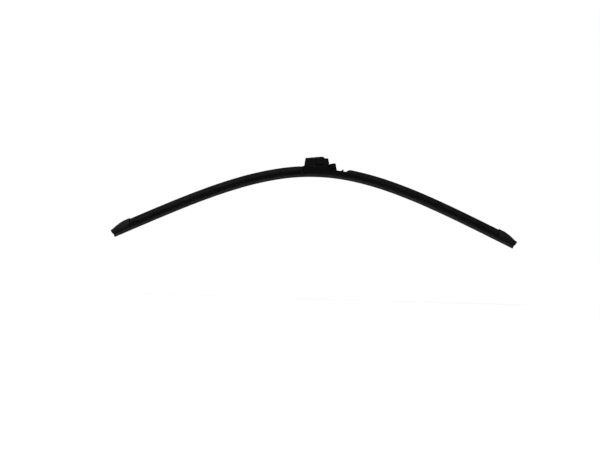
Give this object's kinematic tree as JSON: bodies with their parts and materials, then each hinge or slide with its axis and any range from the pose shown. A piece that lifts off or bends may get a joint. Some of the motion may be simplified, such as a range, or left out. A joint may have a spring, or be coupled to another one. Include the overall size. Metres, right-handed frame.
{
  "type": "wiper blade",
  "caption": "Flat bowed windscreen wiper blade: rubber strip on spring rails under a spoiler, with end caps, a central connector and an arm adapter with a lock button.",
  "frame": {"origin": "middle of the adapter's deck, where the arm's channel seats, straight above the blade's pivot", "axes": "+X along the blade, away from the arm; +Y to the windward side; +Z away from the glass"},
  "size_m": [0.5784, 0.0168, 0.1233],
  "materials": {
    "wiping_rubber": "matt, graphite coated",
    "rail_steel": "rolled spring steel",
    "spoiler": "satin extruded elastomer",
    "end_cap": "fine moulded grain",
    "bridge_steel": "black coated sheet steel",
    "rivet_steel": "zinc plated",
    "connector_cover": "fine moulded grain",
    "adapter": "fine moulded grain",
    "lock_button": "satin moulded",
    "spring_steel": "blued spring steel"
  },
  "bodies": {
    "adapter": {"adapter_body": "adapter", "lock_spring": "spring_steel"},
    "blade": {"wiping_rubber": "wiping_rubber", "flexor_rail_front": "rail_steel", "flexor_rail_rear": "rail_steel", "spoiler_left": "spoiler", "spoiler_right": "spoiler", "end_cap_left": "end_cap", "end_cap_right": "end_cap", "rail_bridge": "bridge_steel", "pivot_rivet": "rivet_steel", "connector_cover": "connector_cover"},
    "button": {"lock_button": "lock_button"}
  },
  "joints": [
    {"name": "blade_pivot", "type": "hinge", "parent": "adapter", "child": "blade", "pos_m": [0, 0, -0.0144], "axis": [0, 1, 0], "range_deg": [-10, 10]},
    {"name": "button_press", "type": "hinge", "parent": "adapter", "child": "button", "pos_m": [-0.0073, 0, -0.0026], "axis": [0, 1, 0], "range_deg": [0, 8.5], "stiffness_Nm_per_rad": 0.5, "springref_deg": -8.59, "deforming": ["lock_spring"]}
  ]
}
